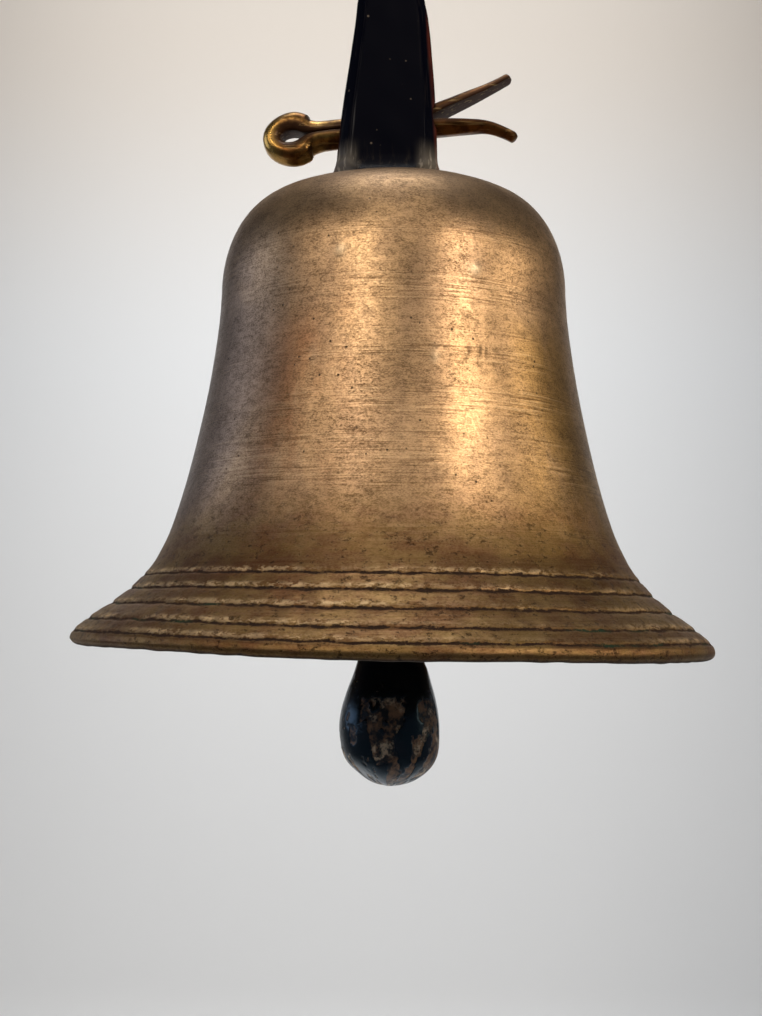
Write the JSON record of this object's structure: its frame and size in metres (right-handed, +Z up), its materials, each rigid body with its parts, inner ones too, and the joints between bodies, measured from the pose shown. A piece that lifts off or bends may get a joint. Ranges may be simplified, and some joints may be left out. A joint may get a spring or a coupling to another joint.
{
  "type": "ship bell",
  "caption": "Ship's bell: a turned bronze bell with a flared, beaded lip, on a black iron hanger with an eye, locked by a brass split pin, with a clapper that swings inside.",
  "frame": {"origin": "centre of the hanger's eye", "axes": "+Z up along the bell's axis, +Y along the eye's bore, +X along the big split pin towards its spread legs"},
  "size_m": [0.127, 0.127, 0.189],
  "materials": {
    "bell_bronze": "old turned bronze, dull, with fine lathe lines and worn bead edges",
    "hanger_paint": "gloss black paint over iron, thin at the edges",
    "split_pin_brass": "drawn brass wire, lightly tarnished",
    "leather": "oiled brown leather",
    "washer_steel": "dull steel",
    "staple_iron": "forged iron, dark",
    "pin_steel": "turned steel",
    "cotter_brass": "brass wire",
    "clapper_paint": "chipped gloss black paint over iron, brown where it is worn",
    "bush_bronze": "plain bearing bronze"
  },
  "bodies": {
    "bell": {"bell": "bell_bronze", "hanger": "hanger_paint", "split_pin": "split_pin_brass", "seat_washer": "leather", "inner_leather": "leather", "backing_washer": "washer_steel", "staple": "staple_iron", "clapper_pin": "pin_steel", "pin_washer": "washer_steel", "pin_cotter": "cotter_brass"},
    "clapper": {"clapper": "clapper_paint", "clapper_bush": "bush_bronze"}
  },
  "joints": [
    {"name": "clapper_swing", "type": "hinge", "parent": "bell", "child": "clapper", "pos_m": [0, 0, -0.0785], "axis": [0, 1, 0], "range_deg": [-31.5, 31.5]}
  ]
}
